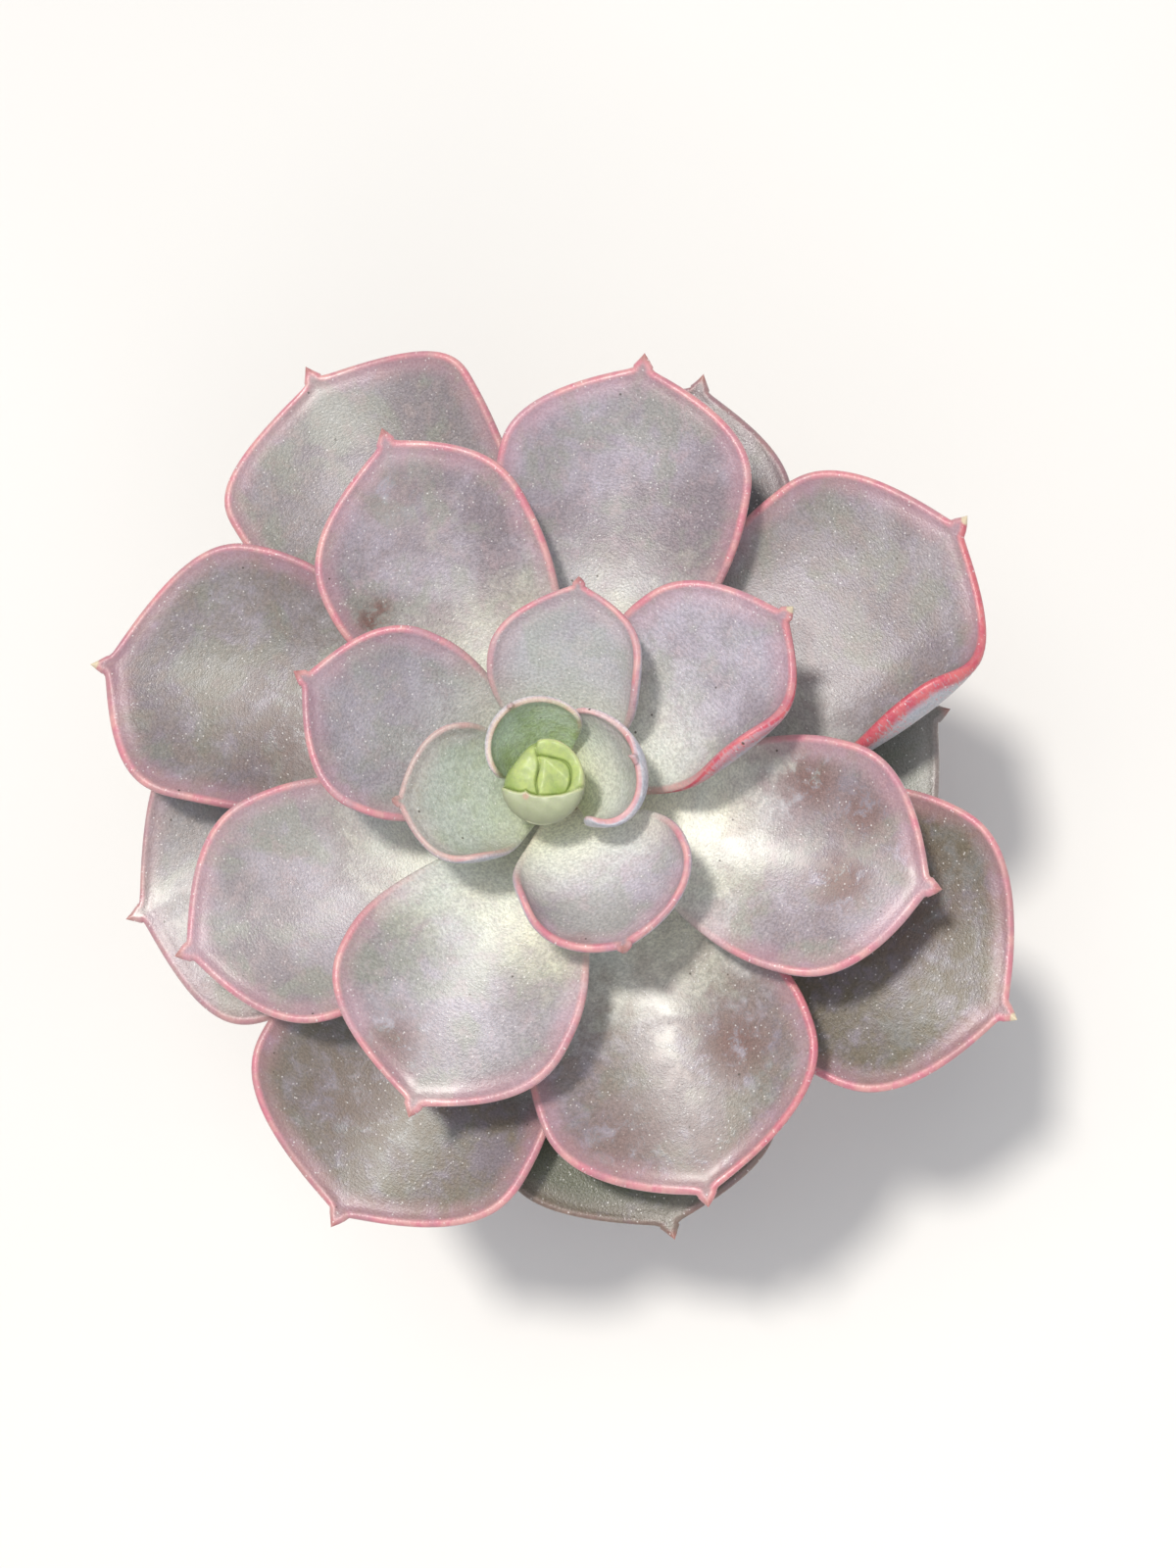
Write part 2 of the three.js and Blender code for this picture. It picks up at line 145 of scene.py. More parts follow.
STEM_RADIUS = 8
STEM_FOOT = 50
STEM_SHOULDER = 109
STEM_TOP = 131
STEM_TOP_RADIUS = 5
STEM_SIDES = 96
STEM_SCARS = 24
FIRST_SCAR = 66  # height of the lowest
SCAR_STEP = 1.75
SPIRAL = 137.5  # degrees round the stem from one scar to the next
POT_HEIGHT = 82
POT_TOP_RADIUS = 50
POT_FOOT_RADIUS = 34
POT_WALL = 4.5
POT_FLOOR = 6
BAND_HEIGHT = 17
BAND_STEP = 2.6
LIP_ROUND = 1.4
DRAIN_HOLES = 3
DRAIN_RADIUS = 4
DRAIN_CIRCLE = 19
SOIL_LEVEL = 72
SOIL_RELIEF = 1.3
SOIL_SEED = 11
SEAT_GAP = 0.35  # between pieces that rest on or in each other


# Shader maths.

class Field:
    """A value or colour in a material. Python's operators on it add Math nodes."""

    def __init__(self, recipe, socket):
        self.recipe = recipe
        self.socket = socket

    def _with(self, operation, first, second):
        return self.recipe.node("ShaderNodeMath", {"operation": operation}, [first, second])

    def __add__(self, other):
        return self._with("ADD", self, other)

    def __radd__(self, other):
        return self._with("ADD", other, self)

    def __sub__(self, other):
        return self._with("SUBTRACT", self, other)

    def __rsub__(self, other):
        return self._with("SUBTRACT", other, self)

    def __mul__(self, other):
        return self._with("MULTIPLY", self, other)

    def __rmul__(self, other):
        return self._with("MULTIPLY", other, self)

    def __truediv__(self, other):
        return self._with("DIVIDE", self, other)


def linear(*rgb):
    """A screen colour of three values from 0 to 255, as the linear colour that a material takes."""
    parts = [c / 255 for c in rgb]
    return [c / 12.92 if c <= 0.04045 else ((c + 0.055) / 1.055) ** 2.4 for c in parts] + [1.0]


class Recipe:
    """One procedural material: adds nodes and sets its surface shader."""

    def __init__(self, name):
        self.material = bpy.data.materials.new(name)
        self.material.use_nodes = True
        self.nodes = self.material.node_tree.nodes
        self.links = self.material.node_tree.links
        self.surface = self.nodes["Principled BSDF"]

    def _feed(self, socket, value):
        if isinstance(value, Field):
            self.links.new(value.socket, socket)
        else:
            socket.default_value = value

    def node(self, kind, settings, inputs, output=0):
        """A node of any kind, with its settings made first and its inputs fed after them."""
        made = self.nodes.new(kind)
        for name, value in settings.items():
            setattr(made, name, value)
        pairs = inputs.items() if isinstance(inputs, dict) else enumerate(inputs)
        for name, value in pairs:
            self._feed(made.inputs[name], value)
        return Field(self, made.outputs[output])

    def attribute(self, name):
        return self.node("ShaderNodeAttribute", {"attribute_name": name}, {}, "Fac")

    def place(self):
        return self.node("ShaderNodeTexCoord", {}, {}, "Object")

    def skin_place(self):
        """The piece's own UV map, in millimetres over its skin."""
        uv = self.node("ShaderNodeTexCoord", {}, {}, "UV")
        return self.scaled(uv, (SKIN_WIDTH, SKIN_LENGTH, 1))

    def scaled(self, vector, factors):
        return self.node("ShaderNodeVectorMath", {"operation": "MULTIPLY"}, [vector, factors])

    def shifted(self, vector, amount):
        """The vector moved by the same amount all over the piece."""
        return self.node("ShaderNodeVectorMath", {"operation": "ADD"}, [vector, amount])

    def noise(self, vector, scale, detail=2.0, rough=0.5, warp=0.0):
        inputs = {
            "Vector": vector, "Scale": scale, "Detail": detail, "Roughness": rough, "Distortion": warp,
        }
        return self.node("ShaderNodeTexNoise", {}, inputs)

    def cells(self, vector, scale):
        """Distance to the nearest of many scattered points."""
        return self.node("ShaderNodeTexVoronoi", {}, {"Vector": vector, "Scale": scale}, "Distance")

    def ramp(self, value, low, high):
        """0 at low and beyond it, 1 at high and beyond it, and a smooth step between them."""
        inputs = {"Value": value, "From Min": low, "From Max": high}
        return self.node("ShaderNodeMapRange", {"interpolation_type": "SMOOTHSTEP"}, inputs)

    def mix(self, share, first, second):
        """From the first colour to the second by a share from 0 to 1."""
        return self.node("ShaderNodeMix", {"data_type": "RGBA"}, {0: share, 6: first, 7: second}, 2)

    def shade(self, colour, factor):
        """The colour times a value that varies over the surface."""
        inputs = {"Vector": colour, "Scale": factor}
        return self.node("ShaderNodeVectorMath", {"operation": "SCALE"}, inputs)

    def bumps(self, height, depth):
        """A normal for a height from 0 to 1 that stands for depth in millimetres."""
        return self.node("ShaderNodeBump", {}, {"Height": height, "Distance": depth * MM}, "Normal")

    def finish(self, **inputs):
        for name, value in inputs.items():
            self._feed(self.surface.inputs[name.replace("_", " ")], value)
        return self.material


# Surfaces.

def closed_skin(name, rings, side_split=None, maps=None, values=None):
    """A closed skin over n rings of m points, joined round each ring and capped by a point at both ends.

    maps are two n by m pairs of UV places, for the faces before side_split and for those after it. values are
    kept as point attributes, and each is an array of n by m numbers or one that spreads to that.
    """
    n, m, _ = rings.shape
    points = np.concatenate([rings.reshape(-1, 3), rings[:1].mean(1), rings[-1:].mean(1)]) * MM
    i, j = np.meshgrid(np.arange(n - 1), np.arange(m), indexing="ij")
    a = i * m + j
    b = i * m + (j + 1) % m
    quads = np.stack([a, b, b + m, a + m], -1).reshape(-1, 4)
    k = np.arange(m)
    after = (k + 1) % m
    first = np.stack([np.full(m, n * m), after, k], 1)
    last = np.stack([np.full(m, n * m + 1), (n - 1) * m + k, (n - 1) * m + after], 1)
    corners = points[quads]
    volume = np.einsum("fk,fk->", corners[:, 0], np.cross(corners[:, 1], corners[:, 2]))
    volume += np.einsum("fk,fk->", corners[:, 0], np.cross(corners[:, 2], corners[:, 3]))
    if volume < 0:
        quads, first, last = quads[:, ::-1], first[:, ::-1], last[:, ::-1]
    mesh = bpy.data.meshes.new(name)
    mesh.from_pydata(points.tolist(), [], quads.tolist() + first.tolist() + last.tolist())
    mesh.polygons.foreach_set("use_smooth", np.ones(len(mesh.polygons), bool))
    if maps is not None:
        rows = np.concatenate([quads.ravel(), first.ravel(), last.ravel()])
        column = np.concatenate([np.repeat(j.ravel(), 4), np.repeat(k, 3), np.repeat(k, 3)])
        sides = []
        for places in maps:
            flat = places.reshape(-1, 2)
            sides.append(np.concatenate([flat, places[:1].mean(1), places[-1:].mean(1)])[rows])
        chosen = np.where((column < side_split)[:, None], sides[0], sides[1])
        layer = mesh.uv_layers.new(name="UVMap")
        layer.data.foreach_set("uv", chosen.ravel().astype(np.float32))
    for key, value in (values or {}).items():
        grid = np.broadcast_to(value, (n, m))
        flat = np.concatenate([grid.ravel(), [grid[0].mean(), grid[-1].mean()]])
        mesh.attributes.new(key, "FLOAT", "POINT").data.foreach_set("value", flat.astype(np.float32))
    mesh.update()
    return mesh


def piece(name, mesh, material, slot, *nodes):
    """Puts the mesh in place of the CAD nodes, on the one body, with the material. The slot is not used."""
    made = bpy.data.objects.new(name, mesh)
    bpy.context.scene.collection.objects.link(made)
    mesh.materials.append(material)
    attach(made, "root")
    if nodes:
        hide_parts(*nodes)


# A leaf.

class Leaf:
    """One leaf's driving values, its midrib and its outline.

    The midrib is a Bezier curve in the leaf's own upright plane, from its heel in the stem to (reach, tip),
    with handles along the slopes leave and arrive.
    """

    def __init__(self, row, root):
        for column, value in zip(LEAF_COLUMNS, row):
            setattr(self, column, value)
        start = np.array([HEEL_RADIUS, root])
        end = np.array([self.reach, self.tip])
        handle = HANDLE_SHARE * np.linalg.norm(end - start)
        out, back = math.radians(self.leave), math.radians(self.arrive)
        self.handles = [
            start,
            start + handle * np.array([math.cos(out), math.sin(out)]),
            end - handle * np.array([math.cos(back), math.sin(back)]),
            end,
        ]
        fine = self.midrib(np.linspace(0, 1, CURVE_STEPS))[0]
        steps = np.linalg.norm(np.diff(fine, axis=0), axis=1)
        self.travelled = np.concatenate([[0], np.cumsum(steps)])
        self.length = self.travelled[-1]
        self.thick = min(4.6, 1.2 + 0.052 * self.length)
        self.grown = min(1, self.wide / GROWN_WIDTH)
        self.point = POINT_LENGTH * self.grown**1.5 / self.length

    def midrib(self, s):
        """Places and unit tangents of the midrib at the shares s."""
        a, b, c, d = self.handles
        s = s[:, None]
        place = (1 - s) ** 3 * a + 3 * s * (1 - s) ** 2 * b + 3 * s**2 * (1 - s) * c + s**3 * d
        slope = (1 - s) ** 2 * (b - a) + 2 * s * (1 - s) * (c - b) + s**2 * (d - c)
        return place, slope / np.linalg.norm(slope, axis=1)[:, None]

    def along(self, s):
        """Length along the midrib at the shares s."""
        return np.interp(s, np.linspace(0, 1, CURVE_STEPS), self.travelled)

    def half_width(self, s):
        """Half the width at the shares s: a sine power from the narrow root to the belly, an arch from there
        to the blunt end, and the point, blended by the 1.3 norm. The arch is blunter on a wide leaf."""
        half = self.wide / 2
        root = min(0.19 * half + 1.4, ROOT_HALF_WIDTH)
        blade = s / (1 - self.point)
        swell = root + (half - root) * np.sin(np.pi / 2 * np.clip(blade / self.belly, 0, 1)) ** 1.5
        past = np.clip((blade - self.belly) / (1 - self.belly), 0, 1)
        arch = half * (1 - past ** (1.8 + 1.2 * self.grown**2)) ** 0.95
        width = np.where(blade < self.belly, swell, arch)
        spike = POINT_HALF_WIDTH * self.grown**1.5 * np.minimum(s**6, (1 - s) / self.point)
        return np.maximum(0.04, (width**1.3 + spike**1.3) ** (1 / 1.3))


def from_outline(leaf, s, across):
    """Distance over the flattened leaf from each grid point to the nearest point of the outline. The outline is
    read from a little way along, because the root's end is no margin."""
    t = 1 - (1 - np.linspace(0, 1, OUTLINE_STEPS)) ** 1.8
    edge = np.stack([leaf.half_width(t), leaf.along(t)], 1)
    edge = edge[t > 0.03]
    spread = np.abs(across)[None, :] * leaf.half_width(s)[:, None]
    height = np.broadcast_to(leaf.along(s)[:, None], spread.shape)
    here = np.stack([spread, height], -1)[:, :, None, :]
    before, after = edge[:-1], edge[1:]
    run = after - before
    share = ((here - before) * run).sum(-1) / (run**2).sum(-1)
    nearest = before + np.clip(share, 0, 1)[..., None] * run
    return np.linalg.norm(here - nearest, axis=-1).min(2)


def leaf_skin(name, leaf, tint, seed, blotches, rosy, scarred):
    """The leaf's skin on a grid of shares of its length by places round its section.

    The section is an arc whose slope at a distance d from the midrib is bend (2 d / wide)^roll. It is plump
    below and rounded at the margin, with a groove exp(-((inset - GROOVE_INSET) / GROOVE_WIDTH)^2) inside the
    margin's bead and slow sine waves along the margin and in the blade.
    """
    s = 1 - (1 - np.linspace(0, 1, LEAF_STATIONS)) ** 1.6
    j = np.arange(2 * LEAF_FACES_ACROSS)
    across = -np.cos(np.pi * j / LEAF_FACES_ACROSS)
    upper = j <= LEAF_FACES_ACROSS
    side = np.sign(across)
    share = s[:, None]
    along = leaf.along(s)[:, None]
    half = leaf.half_width(s)[:, None]
    out = np.abs(across) * half
    inset = from_outline(leaf, s, across)

    # The section's slope grows with the distance from the midrib, so it is summed up in short steps.
    bend = np.radians(np.where(across > 0, leaf.left, leaf.right))
    channel = math.radians(ROOT_CHANNEL) * (1 - share) ** 3

    def slope_at(distance):
        return bend * (distance / (leaf.wide / 2)) ** leaf.roll + channel * distance / half

    slopes = slope_at((np.arange(SECTION_STEPS)[:, None, None] + 0.5) / SECTION_STEPS * out)
    level = (np.cos(slopes) * out / SECTION_STEPS).sum(0)
    rise = (np.sin(slopes) * out / SECTION_STEPS).sum(0)
    slope = slope_at(out)

    # How deep each point of the skin lies below the upper face.
    thin = ROOT_THINNING + (1 - ROOT_THINNING) * np.minimum(1, share / 0.15)
    edge = thin * np.minimum(min(EDGE_THICKNESS, leaf.thick * 0.45), 2 * half)
    rounding = np.sqrt(1 - np.clip(1 - inset / (edge / 2), 0, 1) ** 2)
    plump = thin * (leaf.thick - edge) * np.minimum(1, half / (0.35 * leaf.wide)) * (1 - across**2)
    groove = GROOVE_DEPTH * np.exp(-(((inset - GROOVE_INSET) / GROOVE_WIDTH) ** 2))
    groove = groove * np.minimum(1, half / 6)
    sink = np.where(upper, edge / 2 * (1 - rounding) + groove, edge / 2 * (1 + rounding) + plump)

    # The margin lifts and dips a little, and the blade has faint lengthwise folds.
    at_margin, aslant, lengthways = np.random.default_rng(seed).uniform(0, 2 * np.pi, 3)
    lift = MARGIN_WAVE * np.sin(along / 7.5 + at_margin + np.where(across > 0, 0, 2.1)) * np.abs(across) ** 4
    lift = lift + BLADE_WAVE * np.sin(across * 5.2 + aslant + along / 31) * np.sin(along / 13 + lengthways)
    lift = min(1, leaf.wide / 50) * lift * np.clip(share / 0.3, 0, 1) * np.clip(half / 8, 0, 1)

    place, tangent = leaf.midrib(s)
    aside = side * (level + sink * np.sin(slope)) + leaf.bow * 6.75 * share**2 * (1 - share)
    up = rise - sink * np.cos(slope) + lift
    x = place[:, :1] - up * tangent[:, 1:]
    z = place[:, 1:] + up * tangent[:, :1]
    turn = math.radians(leaf.turn)
    rings = np.stack([
        x * math.cos(turn) - aside * math.sin(turn),
        x * math.sin(turn) + aside * math.cos(turn),
        z,
    ], -1)

    flat = side * out
    lengthwise = np.broadcast_to(along / SKIN_LENGTH + 0.02, flat.shape)
    maps = [
        np.stack([0.25 + flat / SKIN_WIDTH, lengthwise], -1),
        np.stack([0.75 - flat / SKIN_WIDTH, lengthwise], -1),
    ]
    blotch = np.zeros_like(flat)
    for strength, at_share, at_side, radius in blotches:
        far = np.hypot(flat - at_side * leaf.wide / 2, along - at_share * leaf.length) / radius
        blotch = np.maximum(blotch, strength * np.exp(-far**2))
    green, warm, dark, red = tint
    values = {
        "margin": inset,
        "to_tip": np.hypot(flat, leaf.length - along),
        "share": share,
        "upper": np.where(upper, 1.0, 0.0),
        "line": leaf.grown**2,
        "middle": np.exp(-((flat / (0.16 * leaf.wide)) ** 2)),
        "green": green,
        "warm": warm,
        "dark": dark,
        "red": abs(red) * np.where(across * red < 0, 1, 0.12),
        "blotch": np.where(upper, blotch, 0),
        "rosy": rosy,
        "scar": scarred,
        "seed": seed % PATTERN_PLACES,
    }
    return closed_skin(name, rings, LEAF_FACES_ACROSS, maps, values)


def leaf_material(name, roughness):
    """Waxy leaf skin: a lilac grey that pales to cream green towards the root, partly as painted light, with
    slow mottling, a fine grain, pale and dark flecks, brown blotches, a pink bead along the margin and a pale
    bloom on the back."""
    r = Recipe(name)
    margin, to_tip, share = r.attribute("margin"), r.attribute("to_tip"), r.attribute("share")
    upper, line, rosy = r.attribute("upper"), r.attribute("line"), r.attribute("rosy")
    green, warm = r.attribute("green"), r.attribute("warm")
    dark, red = r.attribute("dark"), r.attribute("red")
    back = 1 - upper
    # Each leaf reads the patterns at a place of its own.
    seed = r.attribute("seed")
    apart = r.node("ShaderNodeCombineXYZ", {}, [seed * 3.7, seed * 1.9, seed])
    skin = r.shifted(r.skin_place(), apart)
    clouds = r.noise(skin, 0.05, 3, 0.55)
    drift = r.noise(r.shifted(skin, (57, 23, 11)), 0.085, 4, 0.6, 0.5)
    mottle = r.noise(skin, 0.26, 3, 0.62, 0.4)
    grain = r.noise(r.scaled(skin, (1, 1.25, 1)), 1.6, 2, 0.6)
    fine = r.noise(skin, 2.9, 1, 0.5)

    lilac = r.mix(r.ramp(clouds, 0.35, 0.65), linear(142, 130, 136), linear(180, 170, 183))
    lilac = r.mix(r.ramp(drift, 0.46, 0.62) * 0.6, lilac, linear(148, 150, 138))
    lilac = r.mix(r.ramp(mottle, 0.5, 0.68) * 0.4, lilac, linear(184, 160, 168))
    lilac = r.mix(warm * r.ramp(mottle + clouds, 0.7, 1.15), lilac, linear(124, 114, 82))
    # The cream towards the root is partly the leaves' own pale base and partly painted light on the shaded
    # middle.
    cream = r.mix(r.ramp(clouds, 0.3, 0.7), linear(230, 226, 204), linear(214, 218, 208))
    young = r.mix(r.ramp(mottle + share * 0.3, 0.4, 0.85), linear(160, 180, 126), linear(188, 204, 180))
    colour = r.mix(r.ramp(share + (mottle - 0.5) * 0.3, 0.62, 0.24), lilac, cream)
    pale_young = r.mix(r.ramp(mottle + clouds, 0.7, 1.3), linear(212, 206, 218), linear(208, 214, 206))
    colour = r.mix((1 - line) * 0.9, colour, pale_young)
    # Partly painted light: this palest cream by the root also lifts the shade in the rosette's middle.
    colour = r.mix(r.ramp(share, 0.32, 0.12) * 0.8, colour, linear(228, 228, 198))
    colour = r.mix(green, colour, young)
    bloom = r.mix(r.ramp(mottle, 0.3, 0.7), linear(190, 196, 206), linear(214, 210, 214))
    colour = r.mix(back * 0.85, colour, bloom)
    blotch = r.attribute("blotch") * r.ramp(mottle + (grain - 0.5) * 0.5, 0.32, 0.5)
    colour = r.mix(blotch, colour, linear(118, 86, 78))
    grained = (0.83 + 0.34 * r.ramp(grain, 0.3, 0.7)) * (0.88 + 0.24 * fine)
    colour = r.shade(colour, (1 - dark * 0.4) * grained)

    # The margin's bead shows on the face, and a hair's width of it on the back.
    wander = (mottle - 0.5) * 0.7
    bead = r.ramp((margin + wander) / (0.35 + line * 0.95), 1.25, 0.4)
    bead = bead * (upper + back * r.ramp(margin, 0.4, 0.05))
    blush = r.ramp(margin + (drift - 0.5) * 5, 6.5, 0.8)
    blushing = r.ramp(share, 0.25, 0.6) * (1 - green * 0.4) * rosy
    colour = r.mix(blush * blushing * line * 0.4 * upper, colour, linear(200, 142, 156))
    rim = r.mix(r.ramp(mottle, 0.35, 0.65), linear(206, 124, 138), linear(216, 160, 156))
    rim = r.mix(green * 0.5, rim, linear(222, 196, 170))
    colour = r.mix(bead * blushing * (0.4 + 0.5 * r.ramp(drift, 0.38, 0.58)), colour, rim)
    crimson = r.mix(r.ramp(mottle, 0.3, 0.7), linear(190, 74, 92), linear(206, 108, 110))
    flush = r.ramp(margin + (drift - 0.5) * 2, 2.6, 0.9) * back + bead * 0.8
    flecks = r.ramp(margin, 9, 2) * r.ramp(grain + (mottle - 0.5) * 0.6, 0.56, 0.66) * back
    colour = r.mix((flush + flecks * 0.6) * red * r.ramp(grain, 0.2, 0.5), colour, crimson)
    point = r.ramp(to_tip, 2.6, 0.6) * (0.3 + 0.4 * line)
    colour = r.mix(point, colour, linear(172, 120, 110))
    scar = r.attribute("scar") * r.ramp(to_tip + (mottle - 0.5) * 1.2, 1.9, 1.3)
    colour = r.mix(scar, colour, linear(214, 198, 168))

    # Pale flecks lie in drifts, and dark specks of dirt are few.
    pale = r.ramp(r.cells(skin, 0.95), 0.22, 0.06) * r.ramp(r.noise(skin, 0.45, 2, 0.5), 0.44, 0.58)
    colour = r.mix(pale * 0.7, colour, linear(236, 232, 228))
    speck = r.ramp(r.cells(r.shifted(skin, (31, 17, 5)), 0.16), 0.055, 0.025)
    colour = r.mix(speck * 0.85, colour, linear(62, 52, 38))

    # Where the bloom is rubbed off along the middle, the skin shines.
    rubbed = r.attribute("middle") * r.ramp(mottle * 0.5 + drift, 0.66, 0.86)
    polish = rubbed * r.ramp(share, 0.25, 0.5) * upper * r.ramp(dark, 1, 0) + 0.06
    height = grain * 0.7 + fine * 0.35 + mottle * 0.5
    return r.finish(
        Base_Color=colour,
        Roughness=roughness + 0.3 * (grain - 0.5) + 0.16 * (mottle - 0.5) + blotch * 0.2,
        Normal=r.bumps(height, 0.13),
        Specular_IOR_Level=0.6,
        Coat_Weight=polish,
        Coat_Roughness=0.33,
        Subsurface_Weight=0.06,
        Subsurface_Radius=(1.0, 0.5, 0.35),
        Subsurface_Scale=0.0015,
    )


def bud_mesh():
    """The closed bud: rings rise from the stem's top to its widest and run in over the top, whose height is
    that of four scales. A cup on the lower side leans inwards, two more close round the middle, and a folded
    nub stands between them. Narrow grooves exp(-(distance / SEAM_WIDTH)^2) run along the seams."""
    foot = STEM_TOP + SEAT_GAP
    wall = np.array([
        [3.4, foot], [4.4, foot + 2.5], [6.2, foot + 7], [BUD_RADIUS - 0.2, foot + BUD_WALL],
    ])
    level = np.linspace(foot, foot + BUD_WALL, 24)
    inwards = 1 - np.arange(1, 100) / 100
    radius = np.concatenate([np.interp(level, wall[:, 1], wall[:, 0]), BUD_RADIUS * inwards])[:, None]
    lean = np.concatenate([(level - foot) / BUD_WALL, np.ones(len(inwards))])[:, None]
    angle = np.linspace(0, 2 * np.pi, BUD_SIDES, endpoint=False)
    reach = 1 - BUD_FLAT / BUD_RADIUS * np.exp(-(((np.degrees(angle) - 140) / 38) ** 2))
    x = radius * reach * np.cos(angle) + BUD_CENTRE[0] * lean
    y = radius * reach * np.sin(angle) + BUD_CENTRE[1] * lean

    cup = np.hypot(x + 1.2, y - 14) - 18.2 + 0.7 * np.exp(-np.abs(x + 4.7) / 0.7)
    ring = np.hypot(x + 0.9, y + 1.2) - 4.8 - 0.4 * np.sin(0.7 * x - 0.5 * y)
    wedge = -2.5 - x + 0.3 * np.sin(0.9 * y)
    folds = np.minimum(np.abs(x + 1.2 - 0.16 * y), 0.71 * np.abs(x + y - 2))
    nub = BUD_RIM + 0.7 - 0.6 * np.hypot(folds, 0.4) - 0.12 * np.hypot(x + 0.9, y - 2.4)
    heights = [
        BUD_RIM - 0.11 * cup**2,
        BUD_RIM + 0.4 - 0.09 * ((x + 4) ** 2 + 0.6 * (y - 1.5) ** 2),
        BUD_RIM - 1.2 + 0.75 * ring,
    ]
    top = np.select([cup > 0, wedge > 0, ring > 0], heights, nub)
    far = BUD_RADIUS + 0.6
    inner = np.minimum(np.abs(wedge), np.where(wedge > 0, far, np.abs(ring)))
    seam = np.minimum(np.abs(cup), np.where(cup > 0, far, inner))
    top = top - SEAM_DEPTH * np.exp(-((seam / SEAM_WIDTH) ** 2))
    top = top + 0.08 * np.sin(1.7 * x + 0.6 * y) * np.sin(1.9 * y - 0.4 * x)
    shoulder = np.concatenate([np.ones(len(level)), inwards])[:, None]
    top = top - 2.4 * (1 - np.sqrt(1 - shoulder**10))
    z = np.concatenate([np.broadcast_to(level[:, None], (len(level), BUD_SIDES)), top[len(level):]])
    places = np.stack([x / SKIN_WIDTH, y / SKIN_LENGTH], -1)
    # The seam and depth values also steer the painted shade in the bud's skin.
    return closed_skin("bud", np.stack([x, y, z], -1), BUD_SIDES, [places, places], {
        "seam": seam,
        "back": np.where(cup > 0, 1.0, 0.0),
        "rim": np.where(cup > 0, cup, np.where(wedge > 0, far, BUD_RADIUS - radius)),
        "pink": np.minimum(np.hypot(x + 4.7, y + 4.4), np.hypot(x - 2.2, y - 6.6)),
        "depth": BUD_RIM - top,
    })


def bud_material():
    """Lime green skin of the unopened leaves, greyer on the outer scale's back, pale at its rim, with two pink
    points, and painted shade that darkens it deep below the rims and along the seams."""
    r = Recipe("bud_skin")
    skin = r.skin_place()
    mottle = r.noise(skin, 0.5, 3, 0.6)
    grain = r.noise(skin, 2.4, 2, 0.5)
    colour = r.mix(r.ramp(mottle, 0.35, 0.65), linear(184, 198, 122), linear(168, 182, 120))
    # Painted shade: a darker green the deeper the skin lies below the rims.
    colour = r.mix(r.ramp(r.attribute("depth"), 0.4, 1.6) * 0.5, colour, linear(132, 158, 78))
    colour = r.mix(r.attribute("back") * 0.9, colour, linear(170, 174, 144))
    colour = r.mix(r.ramp(r.attribute("rim"), 0.8, 0.1) * 0.7, colour, linear(208, 210, 160))
    # Painted shade: a darker green along the seams between the scales.
    colour = r.mix(r.ramp(r.attribute("seam"), 0.35, 0.0) * 0.5, colour, linear(132, 148, 80))
    colour = r.mix(r.ramp(r.attribute("pink"), 0.9, 0.3) * 0.6, colour, linear(206, 156, 142))
    colour = r.shade(colour, 0.92 + 0.16 * grain)
    return r.finish(
        Base_Color=colour,
        Roughness=0.46 + 0.2 * (grain - 0.5),
        Normal=r.bumps(grain * 0.4 + mottle, 0.08),
        Coat_Weight=0.1,
        Coat_Roughness=0.3,
        Subsurface_Weight=0.15,
        Subsurface_Radius=(0.6, 1.0, 0.3),
        Subsurface_Scale=0.002,
    )


# Stem, soil and pot.

def turned_rings(outline, sides):
    """Rings of points round Z from (radius, height) pairs."""
    angle = np.linspace(0, 2 * np.pi, sides, endpoint=False)
    radius, height = np.array(outline, float).T
    return np.stack([
        radius[:, None] * np.cos(angle),
        radius[:, None] * np.sin(angle),
        np.broadcast_to(height[:, None], (len(radius), sides)),
    ], -1)


def arc(radius, height, size, start, end, steps=6):
    """Points on a quarter turn or so round (radius, height), from one angle to the other, in degrees."""
    angles = np.radians(np.linspace(start, end, steps))
    return [(radius + size * math.cos(a), height + size * math.sin(a)) for a in angles]


def spaced(start, end, steps):
    """Points on the straight line between two, without its ends."""
    share = np.linspace(0, 1, steps + 2)[1:-1, None]
    return [tuple(p) for p in np.array(start) * (1 - share) + np.array(end) * share]


def stem_mesh():
    """A post that tapers at its top, with slow swellings. The dents exp(-far) with raised edges, in a spiral,
    are the scars of dropped leaves."""
    height = np.concatenate([[STEM_FOOT], np.linspace(STEM_FOOT + 0.5, STEM_TOP - 0.5, 150), [STEM_TOP]])
    radius = np.interp(
        height,
        [STEM_FOOT, STEM_FOOT + 8, STEM_SHOULDER, STEM_TOP - 0.5, STEM_TOP],
        [STEM_RADIUS - 3, STEM_RADIUS - 0.2, STEM_RADIUS - 0.2, STEM_TOP_RADIUS, STEM_TOP_RADIUS - 0.5],
    )
    rings = turned_rings(np.stack([radius, height], 1), STEM_SIDES)
    angle = np.linspace(0, 2 * np.pi, STEM_SIDES, endpoint=False)
    dent = np.zeros(rings.shape[:2])
    for i in range(STEM_SCARS):
        level = FIRST_SCAR + SCAR_STEP * i
        turn = (angle - np.radians(SPIRAL) * i + np.pi) % (2 * np.pi) - np.pi
        far = (turn[None, :] * radius[:, None] / 4.2) ** 2 + ((height[:, None] - level) / 1.5) ** 2
        dent += np.exp(-far) - 1.3 * np.exp(-((np.sqrt(far) - 1.3) ** 2) * 6) * 0.35
    swelling = 0.25 * np.sin(height / 4.3)[:, None] - 0.55 * dent
    swelling = swelling * np.clip((height - STEM_FOOT) / 5, 0, 1)[:, None]
    swelling = np.minimum(swelling, 0.2)
    rings[..., 0] += swelling * np.cos(angle)
    rings[..., 1] += swelling * np.sin(angle)
    return closed_skin("stem", rings)


